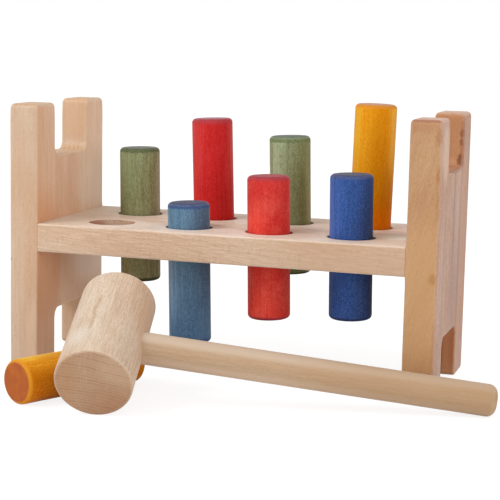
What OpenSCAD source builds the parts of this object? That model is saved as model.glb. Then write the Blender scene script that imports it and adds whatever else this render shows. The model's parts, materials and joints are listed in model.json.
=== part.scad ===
/* [Bench] */
// Overall length, over both end panels
bench_len = 261; // [230:1:340]
// Depth, front to back
bench_depth = 102; // [96:1:140]
// Height of the end panels
bench_h = 160; // [144:1:200]
// Thickness of an end panel
panel_t = 18; // [15:0.5:24]
// Thickness of the peg shelf
shelf_t = 17; // [14:0.5:24]
// Width of the notch between two prongs
notch_w = 49; // [24:1:56]
// Depth of the notch
notch_h = 32; // [14:1:40]
// Radius in the notch's inner corners
notch_r = 6; // [1:0.5:10]
// Radius on the prongs' corners
prong_r = 3; // [0.5:0.5:6]

/* [Peg holes] */
// Distance between holes along the shelf
hole_pitch = 50; // [44:1:54]
// Distance between the front and the back row
row_pitch = 48; // [42:1:54]
// Diameter of a hole
hole_d = 28; // [27:0.25:30]
// Chamfer round a hole's rim
hole_rim = 0.7; // [0.2:0.1:2]

/* [Grip rings] */
// Outer diameter of the groove that a ring sits in
groove_d = 32; // [31:0.25:34]
// Width of a ring along the hole
ring_w = 4; // [3:0.25:6]
// Width of the flat lip that grips the peg
lip_w = 2; // [1:0.25:2.5]
// Gap between a ring and its groove, on the radius
ring_fit = 0.05; // [0.02:0.01:0.1]
// Gap between the lip and a peg, on the radius
peg_fit = 0.08; // [0.06:0.01:0.1]

/* [Pegs] */
// Diameter of a peg
peg_d = 25.4; // [22:0.1:26]
// Length of a peg
peg_len = 85; // [70:1:95]
// Radius on a peg's ends
peg_edge = 2.6; // [0.5:0.1:5]

/* [Dowels] */
// Diameter of a dowel
dowel_d = 8; // [6:0.5:10]
// Length of a dowel
dowel_len = 30; // [20:1:32]
// Depth of a dowel in the end panel
dowel_seat = 12; // [8:0.5:13]
// Distance between dowels
dowel_pitch = 32; // [24:1:38]
// Radius on a dowel's ends
dowel_edge = 1; // [0.3:0.1:2]
// Gap between a glued rod and its bore, on the radius
glue_fit = 0.05; // [0.02:0.01:0.1]
// Gap past the end of a glued rod
glue_gap = 0.4; // [0.2:0.1:1]

/* [Mallet] */
// Diameter of the head
head_d = 43; // [36:0.5:50]
// Length of the head
head_len = 78; // [66:1:90]
// Radius on the head's rims
head_edge = 1.6; // [0.5:0.1:4]
// Distance from the head's front face to the middle of the handle
handle_at = 38; // [32:0.5:44]
// Diameter of the handle
handle_d = 18; // [14:0.5:22]
// Length of the handle, with its end in the head
handle_len = 228; // [180:1:240]
// Depth of the bore that holds the handle
handle_bore = 33; // [20:1:35]
// Radius on the handle's butt
butt_edge = 5; // [1:0.5:7]

/* [Where the loose pieces lie] */
// Middle of the mallet's head, to the right of the bench's middle
mallet_x = -40.5; // [-60:0.1:-20]
// Middle of the mallet's head, in front of the bench
mallet_gap = 64.7; // [60:0.1:90]
// Turn of the handle on the floor, in degrees
handle_turn = 14; // [8:0.5:16]
// Middle of the loose peg, to the right of the bench's middle
loose_x = -65.3; // [-75:0.1:-60]
// Middle of the loose peg, in front of the bench
loose_gap = 48.8; // [46:0.1:60]
// Turn of the loose peg on the floor, in degrees
loose_turn = 63.1; // [55:0.1:70]
// Gap between the mallet's head and the peg that it leans on
lean_gap = 0.3; // [0.2:0.05:0.5]

/* [Hidden] */
PEGS = ["olive_peg", "red_back_peg", "sage_peg", "yellow_peg",
    "light_blue_peg", "red_front_peg", "dark_blue_peg"];
RINGS = ["grip_ring_front_1", "grip_ring_front_2", "grip_ring_front_3", "grip_ring_front_4",
    "grip_ring_back_1", "grip_ring_back_2", "grip_ring_back_3", "grip_ring_back_4"];
$fn = 96;

// One overrun for every cut
overrun = 1;
inner_len = bench_len - 2 * panel_t;
shelf_mid = bench_h / 2;
front = -bench_depth / 2;
peg_r = peg_d / 2;
head_r = head_d / 2;
handle_r = handle_d / 2;
// From the middle of the head to the tip of the butt
handle_reach = head_r - handle_bore + glue_gap + handle_len;

// How much of each peg stands above the shelf
peg_out_shares = [0.497, 0.737, 0.632, 0.884, 0.177, 0.394, 0.434];
// Lean of each peg along the shelf in degrees, to the right where positive
peg_leans = [-1.1, -2.2, -1.8, 1.2, -1.6, -1.5, -1.1];
// Steepest roll of the mallet that is tried, in degrees
steepest_tip = 60;
peg_colors = [[0.47, 0.49, 0.33], [0.75, 0.14, 0.14], [0.51, 0.55, 0.38], [0.86, 0.57, 0.08],
    [0.30, 0.45, 0.59], [0.80, 0.24, 0.22], [0.20, 0.29, 0.55]];
beech = [0.85, 0.73, 0.61];
pale_beech = [0.88, 0.78, 0.66];
dowel_beech = [0.80, 0.66, 0.50];
ring_grey = [0.16, 0.15, 0.14];
yellow = peg_colors[3];

// Middle of a hole: columns count from the left, and rows from the front
function hole_at(col, row) = [(col - 1.5) * hole_pitch, (row - 0.5) * row_pitch, shelf_mid];

// The standing pegs fill the back row, and then the front row but for its first hole
function peg_at(i) = i < 4 ? hole_at(i, 1) : hole_at(i - 3, 0);

// The mallet lies on three points: the front rim of its head and the butt of its handle
// on the floor, and the side of its head on the loose peg. tip rolls it about the handle
// and tilt lowers the butt.
function centre_h(tip, tilt) = let (rise = sin(tip) * cos(tilt))
    (handle_at - head_edge) * rise + (head_r - head_edge) * sqrt(1 - rise * rise) + head_edge;

function butt_tilt(tip, tilt, turns) = turns == 0 ? tilt : butt_tilt(tip,
    asin((centre_h(tip, tilt) - butt_edge - (handle_r - butt_edge) * cos(tilt))
        / (handle_reach - butt_edge)), turns - 1);

function head_dir(tip, tilt) = [
    sin(tip) * sin(tilt) * cos(handle_turn) - cos(tip) * sin(handle_turn),
    sin(tip) * sin(tilt) * sin(handle_turn) + cos(tip) * cos(handle_turn),
    sin(tip) * cos(tilt)];

function head_clear(tip) = let (
        tilt = butt_tilt(tip, 0, 12),
        across = cross(head_dir(tip, tilt), [cos(loose_turn), sin(loose_turn), 0]),
        between = [loose_x - mallet_x, mallet_gap - loose_gap, peg_r - centre_h(tip, tilt)])
    (between * across) / norm(across) - head_r - peg_r;

// Halves the range until the head clears the loose peg by lean_gap
function lean_tip(low, high, turns) = let (mid = (low + high) / 2)
    turns == 0 ? mid
    : head_clear(mid) > lean_gap ? lean_tip(low, mid, turns - 1)
    : lean_tip(mid, high, turns - 1);

head_tip = lean_tip(0, steepest_tip, 30);
handle_tilt = butt_tilt(head_tip, 0, 12);

// What a radius takes off a square corner that points to -X -Y
module corner_cut(r) {
    difference() {
        translate([-overrun, -overrun])
            square(r + overrun);
        translate([r, r])
            circle(r);
    }
}

// Round rod along +Z from the origin, with a radius on each end
module rod(r, len, low_edge, high_edge) {
    rotate_extrude()
        difference() {
            square([r, len]);
            translate([r, 0])
                mirror([1, 0])
                    corner_cut(low_edge);
            translate([r, len])
                rotate(180)
                    corner_cut(high_edge);
        }
}

// Cuts in the lower right quarter of a panel: half a notch and both corners of the prong
module prong_cuts() {
    difference() {
        translate([-overrun, -overrun])
            square([notch_w / 2 + overrun, notch_h + overrun]);
        translate([notch_w / 2, notch_h])
            rotate(180)
                corner_cut(notch_r);
    }
    translate([notch_w / 2, 0])
        corner_cut(prong_r);
    translate([bench_depth / 2, 0])
        mirror([1, 0])
            corner_cut(prong_r);
}

module panel_outline() {
    difference() {
        translate([front, 0])
            square([bench_depth, bench_h]);
        for (side = [0, 1], end = [0, 1])
            mirror([side, 0])
                translate([0, end * bench_h])
                    mirror([0, end])
                        prong_cuts();
    }
}

// Three places along the joint, on the middle of the shelf's thickness
module at_dowels() {
    for (i = [-1:1])
        translate([0, i * dowel_pitch, shelf_mid])
            children();
}

// Dowel, or the bore round it, along +X from the middle of a right-hand joint
module dowel_rod(gap, end_gap) {
    translate([-(dowel_len - dowel_seat) - end_gap, 0, 0])
        rotate([0, 90, 0])
            rod(dowel_d / 2 + gap, dowel_len + 2 * end_gap, dowel_edge, dowel_edge);
}

// Right-hand panel. The left-hand one is its mirror image
module end_panel() {
    color(beech)
        difference() {
            translate([inner_len / 2, 0, 0])
                rotate([90, 0, 90])
                    linear_extrude(panel_t)
                        panel_outline();
            translate([inner_len / 2, 0, 0])
                at_dowels()
                    dowel_rod(glue_fit, glue_gap);
        }
}

module left_end_panel() {
    mirror([1, 0, 0])
        end_panel();
}

module right_end_panel() {
    end_panel();
}

module dowels() {
    color(dowel_beech)
        translate([inner_len / 2, 0, 0])
            at_dowels()
                dowel_rod(0, 0);
}

module left_dowels() {
    mirror([1, 0, 0])
        dowels();
}

module right_dowels() {
    dowels();
}

// A peg's hole through the shelf, with its chamfered rims and the ring's groove, about z = 0
module hole_cut() {
    half = shelf_t / 2;
    r = hole_d / 2;
    rotate_extrude()
        polygon([
            [0, -half - overrun],
            [r + hole_rim + overrun, -half - overrun],
            [r, -half + hole_rim],
            [r, -ring_w / 2],
            [groove_d / 2, -ring_w / 2],
            [groove_d / 2, ring_w / 2],
            [r, ring_w / 2],
            [r, half - hole_rim],
            [r + hole_rim + overrun, half + overrun],
            [0, half + overrun]]);
}

module peg_shelf() {
    color(beech)
        difference() {
            translate([-inner_len / 2, front, shelf_mid - shelf_t / 2])
                cube([inner_len, bench_depth, shelf_t]);
            for (col = [0:3], row = [0, 1])
                translate(hole_at(col, row))
                    hole_cut();
            for (side = [0, 1])
                mirror([side, 0, 0])
                    translate([inner_len / 2, 0, 0])
                        at_dowels()
                            dowel_rod(glue_fit, glue_gap);
        }
}

// Rubber ring with a flat lip between two slopes
module grip_ring(col, row) {
    lip_r = peg_r + peg_fit;
    slope = (ring_w - lip_w) / 2;
    outer = groove_d / 2 - ring_fit;
    color(ring_grey)
        translate(hole_at(col, row))
            rotate_extrude()
                polygon([
                    [lip_r, -lip_w / 2],
                    [lip_r + slope, -ring_w / 2],
                    [outer, -ring_w / 2],
                    [outer, ring_w / 2],
                    [lip_r + slope, ring_w / 2],
                    [lip_r, lip_w / 2]]);
}

module peg() {
    rod(peg_r, peg_len, peg_edge, peg_edge);
}

module standing_peg(i) {
    out = peg_out_shares[i] * peg_len;
    color(peg_colors[i])
        translate(peg_at(i))
            rotate([0, peg_leans[i], 0])
                translate([0, 0, shelf_t / 2 + out - peg_len])
                    peg();
}

module loose_yellow_peg() {
    color(yellow)
        translate([loose_x, front - loose_gap, peg_r])
            rotate([0, 90, loose_turn])
                translate([0, 0, -peg_len / 2])
                    peg();
}

// Puts a mallet piece, drawn with its head along +Y and its handle along +X, on the floor
module lay_mallet() {
    translate([mallet_x, front - mallet_gap, centre_h(head_tip, handle_tilt)])
        rotate([head_tip, handle_tilt, handle_turn])
            children();
}

module mallet_head() {
    color(pale_beech)
        lay_mallet()
            difference() {
                translate([0, -handle_at, 0])
                    rotate([-90, 0, 0])
                        rod(head_r, head_len, head_edge, head_edge);
                translate([head_r - handle_bore, 0, 0])
                    rotate([0, 90, 0])
                        cylinder(r = handle_r + glue_fit, h = handle_bore + overrun);
            }
}

module mallet_handle() {
    color(pale_beech)
        lay_mallet()
            translate([head_r - handle_bore + glue_gap, 0, 0])
                rotate([0, 90, 0])
                    rod(handle_r, handle_len, dowel_edge, butt_edge);
}

left_end_panel();
right_end_panel();
peg_shelf();
left_dowels();
right_dowels();
for (i = [0:7])
    grip_ring(i % 4, floor(i / 4));
for (i = [0:6])
    standing_peg(i);
loose_yellow_peg();
mallet_head();
mallet_handle();
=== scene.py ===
import json
import math

import bmesh
import bpy
import numpy as np
from mathutils import Matrix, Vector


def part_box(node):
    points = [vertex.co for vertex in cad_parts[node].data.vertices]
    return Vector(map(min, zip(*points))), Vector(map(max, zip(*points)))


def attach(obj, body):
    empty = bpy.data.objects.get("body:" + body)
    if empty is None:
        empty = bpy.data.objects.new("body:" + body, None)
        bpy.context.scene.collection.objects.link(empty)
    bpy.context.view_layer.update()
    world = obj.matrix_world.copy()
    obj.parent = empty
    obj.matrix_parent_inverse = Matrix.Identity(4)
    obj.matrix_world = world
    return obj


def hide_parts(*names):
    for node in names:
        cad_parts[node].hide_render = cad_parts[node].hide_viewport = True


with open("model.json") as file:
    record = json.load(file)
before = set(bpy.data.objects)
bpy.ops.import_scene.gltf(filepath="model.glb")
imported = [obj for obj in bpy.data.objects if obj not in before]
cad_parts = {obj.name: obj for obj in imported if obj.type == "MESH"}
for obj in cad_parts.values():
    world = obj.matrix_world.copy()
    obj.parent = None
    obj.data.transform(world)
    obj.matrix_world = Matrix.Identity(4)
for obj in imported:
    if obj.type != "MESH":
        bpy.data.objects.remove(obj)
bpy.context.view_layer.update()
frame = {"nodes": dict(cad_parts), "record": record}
print("frame loaded:", len(frame["nodes"]), "nodes")


# Colours and node helpers

def paint(code):
    # a hex colour as it shows on screen, turned to linear light
    shown = [int(code[i:i + 2], 16) / 255 for i in (0, 2, 4)]
    return tuple(c / 12.92 if c <= 0.04045 else ((c + 0.055) / 1.055) ** 2.4 for c in shown) + (1,)


def plug(tree, value, socket):
    if isinstance(value, bpy.types.NodeSocket):
        tree.links.new(value, socket)
    else:
        socket.default_value = value


def addNode(tree, kind, inputs=None, **settings):
    made = tree.nodes.new("ShaderNode" + kind)
    for key, value in settings.items():
        setattr(made, key, value)
    for key, value in (inputs or {}).items():
        plug(tree, value, made.inputs[key])
    return made


def sums(tree, operation, *values):
    made = addNode(tree, "Math", operation=operation)
    for value, socket in zip(values, made.inputs):
        plug(tree, value, socket)
    return made.outputs[0]


def swung(tree, base, field, amount):
    # base plus a field's swing about its middle, 0.5, times amount
    return sums(tree, "MULTIPLY_ADD", sums(tree, "SUBTRACT", field, 0.5), amount, base)


def fade(tree, value, low, high, start=0.0, end=1.0):
    # smooth step of value from start at low to end at high
    made = addNode(tree, "MapRange", interpolation_type="SMOOTHSTEP")
    for value, socket in zip((value, low, high, start, end), made.inputs):
        plug(tree, value, socket)
    return made.outputs[0]


def mixed(tree, share, base, other, kind="MIX"):
    made = addNode(tree, "Mix", data_type="RGBA", blend_type=kind)
    plug(tree, share, made.inputs[0])
    plug(tree, base, made.inputs[6])
    plug(tree, other, made.inputs[7])
    return made.outputs[2]


def vector(tree, x, y, z):
    return addNode(tree, "CombineXYZ", {"X": x, "Y": y, "Z": z}).outputs[0]


def inCells(tree, ways, sizes):
    # three lengths, each counted in cells of its own size
    return vector(tree, *[sums(tree, "DIVIDE", way, size) for way, size in zip(ways, sizes)])


def noise(tree, at, scale, detail=2.0, rough=0.5):
    made = addNode(tree, "TexNoise", {"Vector": at, "Scale": scale, "Detail": detail, "Roughness": rough})
    return made.outputs["Fac"]


def newGroup(name, inputs, outputs):
    tree = bpy.data.node_groups.new(name, "ShaderNodeTree")
    for key, kind, value in inputs:
        made = tree.interface.new_socket(name=key, in_out="INPUT", socket_type="NodeSocket" + kind)
        if value is not None:
            made.default_value = value
    for key, kind in outputs:
        tree.interface.new_socket(name=key, in_out="OUTPUT", socket_type="NodeSocket" + kind)
    return tree, tree.nodes.new("NodeGroupInput").outputs, tree.nodes.new("NodeGroupOutput").inputs


# Wood as a solid: the pith runs along z through the origin, so one formula gives arcs on
# end grain, arches on flat faces and straight lines on quartered ones. Its sizes are in mm,
# and each fade says between which values it runs, and from what to what where not 0 to 1
figure = dict(
    perMetre=1000.0,
    sway=5.0,  # how far a ring wanders
    swayScale=0.03,
    swayAlong=0.16,  # how fast it wanders along the trunk, against across it
    shiverScale=0.35,
    shiverAlong=0.3,
    lateFade=(0.2, 0.8),  # where across a ring its dark line comes up
    lateEnd=(0.82, 1.0, 1.0, 0.0),  # and where it stops
    leastRing=0.3,  # strength of the faintest ring
    breakScale=0.28,
    breakFade=(0.3, 0.62, 0.35, 1.0),
    rayCell=(9.0, 0.62, 2.7),  # towards the bark, round the trunk, along it
    rayFade=(0.12, 0.5, 1.0, 0.0),  # by distance from a cell's middle
    rayChoice=(0.2, 0.7),
    fieldRough=0.6,
    fields={
        "Dashes": dict(size=(0.42, 0.42, 2.3), detail=2.0),
        "Streaks": dict(size=(0.6, 0.6, 11.0), detail=3.0),
        "Mottle": dict(size=(0.8, 0.8, 1.7), detail=2.0),
        "Bands": dict(size=(2.6, 2.6, 48.0), detail=2.0),
        "Tone": dict(size=(24.0, 24.0, 120.0), detail=2.0),
    },
)


def makeFigureGroup():
    # a ring's dark line is where the distance from the pith, unsettled by two noises and counted in
    # rings, nears a whole number; rays are the middles of cells, and each field is a stretched noise
    tree, given, result = newGroup(
        "woodFigure",
        [("At", "Vector", None), ("Reach", "Float", 60.0), ("Ring width", "Float", 2.4),
         ("Ripple", "Float", 1.1)],
        [(key, "Float") for key in ("Rings", "Rays", *figure["fields"])])
    scaled = addNode(tree, "VectorMath", {0: given["At"], "Scale": figure["perMetre"]}, operation="SCALE")
    x, y, z = addNode(tree, "SeparateXYZ", {0: scaled.outputs[0]}).outputs
    trunk = sums(tree, "SQRT", sums(tree, "ADD", sums(tree, "MULTIPLY", x, x), sums(tree, "MULTIPLY", y, y)))
    calm = vector(tree, x, y, sums(tree, "MULTIPLY", z, figure["swayAlong"]))
    lively = vector(tree, x, y, sums(tree, "MULTIPLY", z, figure["shiverAlong"]))
    depth = swung(tree, trunk, noise(tree, calm, figure["swayScale"]), figure["sway"])
    depth = swung(tree, depth, noise(tree, lively, figure["shiverScale"], detail=3.0), given["Ripple"])
    count = sums(tree, "DIVIDE", depth, given["Ring width"])
    part = sums(tree, "FRACT", count)
    late = sums(tree, "MULTIPLY", fade(tree, part, *figure["lateFade"]), fade(tree, part, *figure["lateEnd"]))
    own = addNode(tree, "TexWhiteNoise", {"W": sums(tree, "FLOOR", count)}, noise_dimensions="1D")
    least = figure["leastRing"]
    strength = sums(tree, "MULTIPLY_ADD", own.outputs["Value"], 1 - least, least)
    broken = fade(tree, noise(tree, lively, figure["breakScale"]), *figure["breakFade"])
    plug(tree, sums(tree, "MULTIPLY", sums(tree, "MULTIPLY", late, broken), strength), result["Rings"])
    around = sums(tree, "MULTIPLY", sums(tree, "ARCTAN2", y, x), given["Reach"])
    cells = inCells(tree, (trunk, around, z), figure["rayCell"])
    ray = addNode(tree, "TexVoronoi", {"Vector": cells, "Scale": 1.0}, feature="F1")
    chosen = addNode(tree, "SeparateColor", {0: ray.outputs["Color"]}).outputs[0]
    near = fade(tree, ray.outputs["Distance"], *figure["rayFade"])
    plug(tree, sums(tree, "MULTIPLY", near, fade(tree, chosen, *figure["rayChoice"])), result["Rays"])
    for key, field in figure["fields"].items():
        at = inCells(tree, (x, y, z), field["size"])
        plug(tree, noise(tree, at, 1.0, field["detail"], figure["fieldRough"]), result[key])
    return tree


rubbed = dict(patchScale=260.0, patchFade=(0.35, 0.68), turnFade=(0.2, 0.95), leastPatch=0.5)


def makeWearGroup():
    # rubbed arrises: the worn colour shows where the surface turns, broken up by noise
    tree, given, result = newGroup(
        "rubbedEdge",
        [("Color", "Color", None), ("Worn", "Color", None), ("Turn", "Float", 0.0), ("Amount", "Float", 0.5),
         ("At", "Vector", None)],
        [("Color", "Color"), ("Mask", "Float")])
    patches = noise(tree, given["At"], rubbed["patchScale"], detail=3.0, rough=0.6)
    patchy = fade(tree, patches, *rubbed["patchFade"])
    patchy = sums(tree, "MULTIPLY_ADD", patchy, 1 - rubbed["leastPatch"], rubbed["leastPatch"])
    edge = sums(tree, "MULTIPLY", fade(tree, given["Turn"], *rubbed["turnFade"]), patchy)
    mask = sums(tree, "MULTIPLY", edge, given["Amount"])
    plug(tree, mixed(tree, mask, given["Color"], given["Worn"]), result["Color"])
    plug(tree, mask, result["Mask"])
    return tree


figureGroup = makeFigureGroup()
wearGroup = makeWearGroup()


def startMaterial(name):
    made = bpy.data.materials.new(name)
    made.use_nodes = True
    tree = made.node_tree
    tree.nodes.clear()
    shader = addNode(tree, "BsdfPrincipled")
    tree.links.new(shader.outputs[0], addNode(tree, "OutputMaterial").inputs[0])
    return made, tree, shader


def addFigure(tree, look):
    # the place in the trunk, the figure's fields by name, and how far the surface is the piece's
    # face, end grain, and a turned edge
    at = addNode(tree, "Attribute", attribute_name="grainAt").outputs["Vector"]
    inputs = {"At": at, "Reach": look["reach"], "Ring width": look["ringWidth"], "Ripple": look["ripple"]}
    group = addNode(tree, "Group", node_tree=figureGroup)
    for key, value in inputs.items():
        plug(tree, value, group.inputs[key])
    lie = addNode(tree, "Attribute", attribute_name="lie").outputs["Vector"]
    face, end, turn = addNode(tree, "SeparateXYZ", {0: lie}).outputs
    return at, {socket.name: socket for socket in group.outputs}, face, end, turn


def wear(tree, at, colour, worn, turn, amount):
    group = addNode(tree, "Group", node_tree=wearGroup)
    for key, value in (("Color", colour), ("Worn", worn), ("Turn", turn), ("Amount", amount), ("At", at)):
        plug(tree, value, group.inputs[key])
    return group.outputs["Color"], group.outputs["Mask"]


def addBump(tree, height, distance):
    return addNode(tree, "Bump", {"Height": height, "Distance": distance}).outputs[0]


def layer(tree, colour, mask, share, code):
    return mixed(tree, sums(tree, "MULTIPLY", mask, share), colour, paint(code))


def addLayers(tree, colour, grain, look, layers, strength=None):
    # each layer is a field of the wood, the values between which it fades in, and the look's names
    # for its share and its colour; strength is a mask over all of them
    for field, span, share, tone in layers:
        mask = fade(tree, grain[field], *span) if span else grain[field]
        if strength is not None:
            mask = sums(tree, "MULTIPLY", mask, strength)
        colour = layer(tree, colour, mask, look[share], look[tone])
    return colour


def addSpot(tree, at, colour, grain, flat, centre, size, tint, share, ragged=0.0, by="Streaks", on=None,
            core=0.45):
    # a patch of another colour: an ellipsoid, in metres, whose edge follows a noise of the wood where
    # ragged is over 0; on keeps it to the board's face or its edge, and core is the share of its
    # reach that is at full strength
    away = addNode(tree, "VectorMath", {0: at, 1: centre}, operation="SUBTRACT").outputs[0]
    away = addNode(tree, "VectorMath", {0: away, 1: size}, operation="DIVIDE").outputs[0]
    reach = addNode(tree, "VectorMath", {0: away}, operation="LENGTH").outputs["Value"]
    mask = fade(tree, swung(tree, reach, grain[by], ragged), core, 1.0, 1.0, 0.0)
    if on == "face":
        mask = sums(tree, "MULTIPLY", mask, flat)
    if on == "edge":
        mask = sums(tree, "MULTIPLY", mask, sums(tree, "SUBTRACT", 1.0, flat))
    return layer(tree, colour, mask, share, tint)


woodFinish = dict(roughSwing=0.22, wornGloss=0.08, specular=0.24, fuzz=0.09, fuzzRough=0.32, dashRelief=0.5)
stainFinish = dict(
    woodFinish, rough=0.66, roughSwing=0.2, wornGloss=0.1, specular=0.02, fuzz=0.28, relief=0.00012)


def finishWood(tree, shader, grain, worn, look):
    # roughness that follows the streaks and is less where the wood is rubbed, a sheen for the pale
    # haze of raised fibres at grazing angles, and pores as relief
    rough = swung(tree, look["rough"], grain["Streaks"], look["roughSwing"])
    gloss = sums(tree, "MULTIPLY", worn, look["wornGloss"])
    plug(tree, sums(tree, "SUBTRACT", rough, gloss), shader.inputs["Roughness"])
    shader.inputs["Specular IOR Level"].default_value = look["specular"]
    shader.inputs["Sheen Weight"].default_value = look["fuzz"]
    shader.inputs["Sheen Roughness"].default_value = look["fuzzRough"]
    height = sums(tree, "MULTIPLY_ADD", grain["Dashes"], look["dashRelief"], grain["Streaks"])
    plug(tree, addBump(tree, height, look["relief"]), shader.inputs["Normal"])


# what is drawn on bare wood, in order
boardLines = [
    ("Bands", (0.48, 0.66), "bandShare", "ring"),
    ("Rings", None, "ringShare", "ring"),
    ("Streaks", (0.45, 0.72), "streakShare", "ring"),
    ("Streaks", (0.5, 0.3), "streakShare", "pale"),
]
boardPores = [("Dashes", (0.5, 0.7), "dashShare", "ray"), ("Rays", None, "rayShare", "ray")]
boardEnds = [
    ("Rings", None, "endRings", "endRing"),
    ("Streaks", (0.45, 0.72), "endPores", "endRing"),
    ("Rays", None, "endRays", "pale"),
]
boardFades = dict(flat=(0.6, 0.9), tone=(0.34, 0.66), end=(0.45, 0.8))


def beech(name, look):
    made, tree, shader = startMaterial(name)
    at, grain, face, end, turn = addFigure(tree, look)
    flat = fade(tree, face, *boardFades["flat"])
    wood = mixed(tree, flat, paint(look["edge"]), paint(look["face"]))
    toned = mixed(tree, 1.0, wood, paint(look["tint"]), "MULTIPLY")
    wood = mixed(tree, fade(tree, grain["Tone"], *boardFades["tone"]), wood, toned)
    drawn = sums(tree, "MULTIPLY_ADD", flat, look["edgeCalm"], 1 - look["edgeCalm"])
    wood = addLayers(tree, wood, grain, look, boardLines, drawn)
    wood = addLayers(tree, wood, grain, look, boardPores)
    ends = addLayers(tree, paint(look["end"]), grain, look, boardEnds)
    colour = mixed(tree, fade(tree, end, *boardFades["end"]), wood, ends)
    # boards stand still, so their spots lie on object coordinates
    spotAt = addNode(tree, "TexCoord").outputs["Object"] if look["still"] else at
    for spot in look["spots"]:
        colour = addSpot(tree, spotAt, colour, grain, flat, **spot)
    colour, worn = wear(tree, at, colour, paint(look["worn"]), turn, look["wornShare"])
    plug(tree, colour, shader.inputs["Base Color"])
    finishWood(tree, shader, grain, worn, look)
    return made


# what is drawn on stained wood, in order; Cloud and Fleck are noises of the stain itself
stainSides = [
    ("Bands", (0.5, 0.64), "bandShare", "band"),
    ("Streaks", (0.45, 0.7), "streakShare", "streak"),
    ("Mottle", (0.52, 0.7), "mottleShare", "streak"),
    ("Mottle", (0.48, 0.3), "paleShare", "speck"),
    ("Rings", None, "ringShare", "streak"),
    ("Dashes", (0.52, 0.7), "dashShare", "streak"),
    ("Dashes", (0.46, 0.28), "paleShare", "speck"),
    ("Rays", None, "rayShare", "speck"),
    ("Cloud", (0.42, 0.7), "cloudShare", "speck"),
    ("Fleck", (0.52, 0.68), "fleckShare", "speck"),
    ("Fleck", (0.46, 0.32), "fleckShare", "streak"),
]
stainLine = [("Mottle", (0.48, 0.68), "lineWorn", "worn")]
stainRims = [*stainLine, ("Dashes", (0.46, 0.28), "rimSpecks", "speck")]
stainEnds = [
    ("Rings", None, "endRings", "endRing"),
    ("Mottle", (0.5, 0.72), "endMottle", "endRing"),
    ("Cloud", (0.42, 0.7), "endCloud", "high"),
]


def stain(name, look):
    # water stain on beech: thin on the sides, where the grain shows, deeper on the turned rims, and
    # dull on the flat ends. Its spots are partly painted light and shade, and the darker rim at the foot
    # is painted shade
    made, tree, shader = startMaterial(name)
    at, grain, _, end, turn = addFigure(tree, look)
    grain["Cloud"] = noise(tree, at, look["cloudScale"], detail=3.0, rough=0.6)
    grain["Fleck"] = noise(tree, at, look["fleckScale"], detail=1.0)
    along = addNode(tree, "SeparateXYZ", {0: at}).outputs[2]
    up = fade(tree, swung(tree, along, grain["Tone"], look["toneSwing"]), look["lowAt"], look["highAt"])
    side = mixed(tree, up, paint(look["low"]), paint(look["high"]))
    # the look's spots: partly the stain's own unevenness, partly painted light and shade on the peg
    for spot in look["spots"]:
        side = addSpot(tree, at, side, grain, None, by="Bands", core=0.0, **spot)
    side = addLayers(tree, side, grain, look, stainSides)
    # the stain soaks in round both ends, and dries darker along a ragged line
    half = look["length"] / 2
    reach = sums(tree, "ABSOLUTE", sums(tree, "SUBTRACT", along, half))
    reach = swung(tree, reach, grain["Mottle"], look["lineSwing"])
    edge = half - look["rimDepth"]
    soaked = fade(tree, reach, edge - look["rimFade"], edge + look["rimFade"])
    colour = mixed(tree, soaked, side, addLayers(tree, paint(look["line"]), grain, look, stainLine))
    # the rim at the foot has a colour of its own, darker than the rim above on some pegs: painted shade along
    # the peg's bottom edge
    rim = mixed(tree, fade(tree, along, *look["footFade"]), paint(look["foot"]), paint(look["rim"]))
    rim = addLayers(tree, rim, grain, look, stainRims)
    colour = mixed(tree, fade(tree, end, look["rimFrom"], look["rimSpread"]), colour, rim)
    ends = addLayers(tree, paint(look["end"]), grain, look, stainEnds)
    colour = mixed(tree, fade(tree, end, *look["endFade"]), colour, ends)
    colour, worn = wear(tree, at, colour, paint(look["worn"]), turn, look["wornShare"])
    plug(tree, colour, shader.inputs["Base Color"])
    finishWood(tree, shader, grain, worn, look)
    return made


def rubber(name, look):
    made, tree, shader = startMaterial(name)
    at = addNode(tree, "TexCoord").outputs["Object"]
    dust = fade(tree, noise(tree, at, look["dustScale"], detail=3.0, rough=0.6), *look["dustFade"])
    colour = layer(tree, paint(look["base"]), dust, look["dustShare"], look["dust"])
    plug(tree, colour, shader.inputs["Base Color"])
    rough = sums(tree, "MULTIPLY_ADD", dust, look["dustRough"], look["rough"])
    plug(tree, rough, shader.inputs["Roughness"])
    pebble = noise(tree, at, look["pebbleScale"])
    plug(tree, addBump(tree, pebble, look["relief"]), shader.inputs["Normal"])
    return made


# Shapes: arrays of points on a grid, joined and put in place

surface = dict(weld=1e-6, square=0.99995, sharp=32)  # metres, cosine to an axis, degrees


def quarter(rows):
    # angles of a quarter turn in so many steps
    return np.linspace(0, math.pi / 2, rows + 1)


def ripple(u, v, seed, turns=(1, 2, 3, 5), along=0.7):
    # sum of sine waves that close after u goes from 0 to 1, with phases drawn from the seed
    draw = np.random.default_rng(seed)
    total = np.zeros(np.broadcast(u, v).shape)
    for k in turns:
        a, b = draw.uniform(0, 2 * math.pi, 2)
        total = total + np.sin(2 * math.pi * k * u + a) * np.sin(2 * math.pi * k * v * along + b)
    return total / len(turns)


def dents(depth, seed, along=1):
    # what a turned rod is short of its radius: from 0 to depth, as a ripple goes from -1 to 1
    return lambda u, v: depth * (1 + ripple(u, v * along, seed)) / 2


def gridFaces(rows, columns):
    # quads of a grid of points, row by row, whose last row joins up with the first
    i = np.arange(rows)[:, None]
    j = np.arange(columns - 1)[None, :]
    here, after = i * columns + j, (i + 1) % rows * columns + j
    quads = np.stack(np.broadcast_arrays(here, after, after + 1, here + 1), axis=-1)
    return quads.reshape(-1, 4).tolist()


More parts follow.
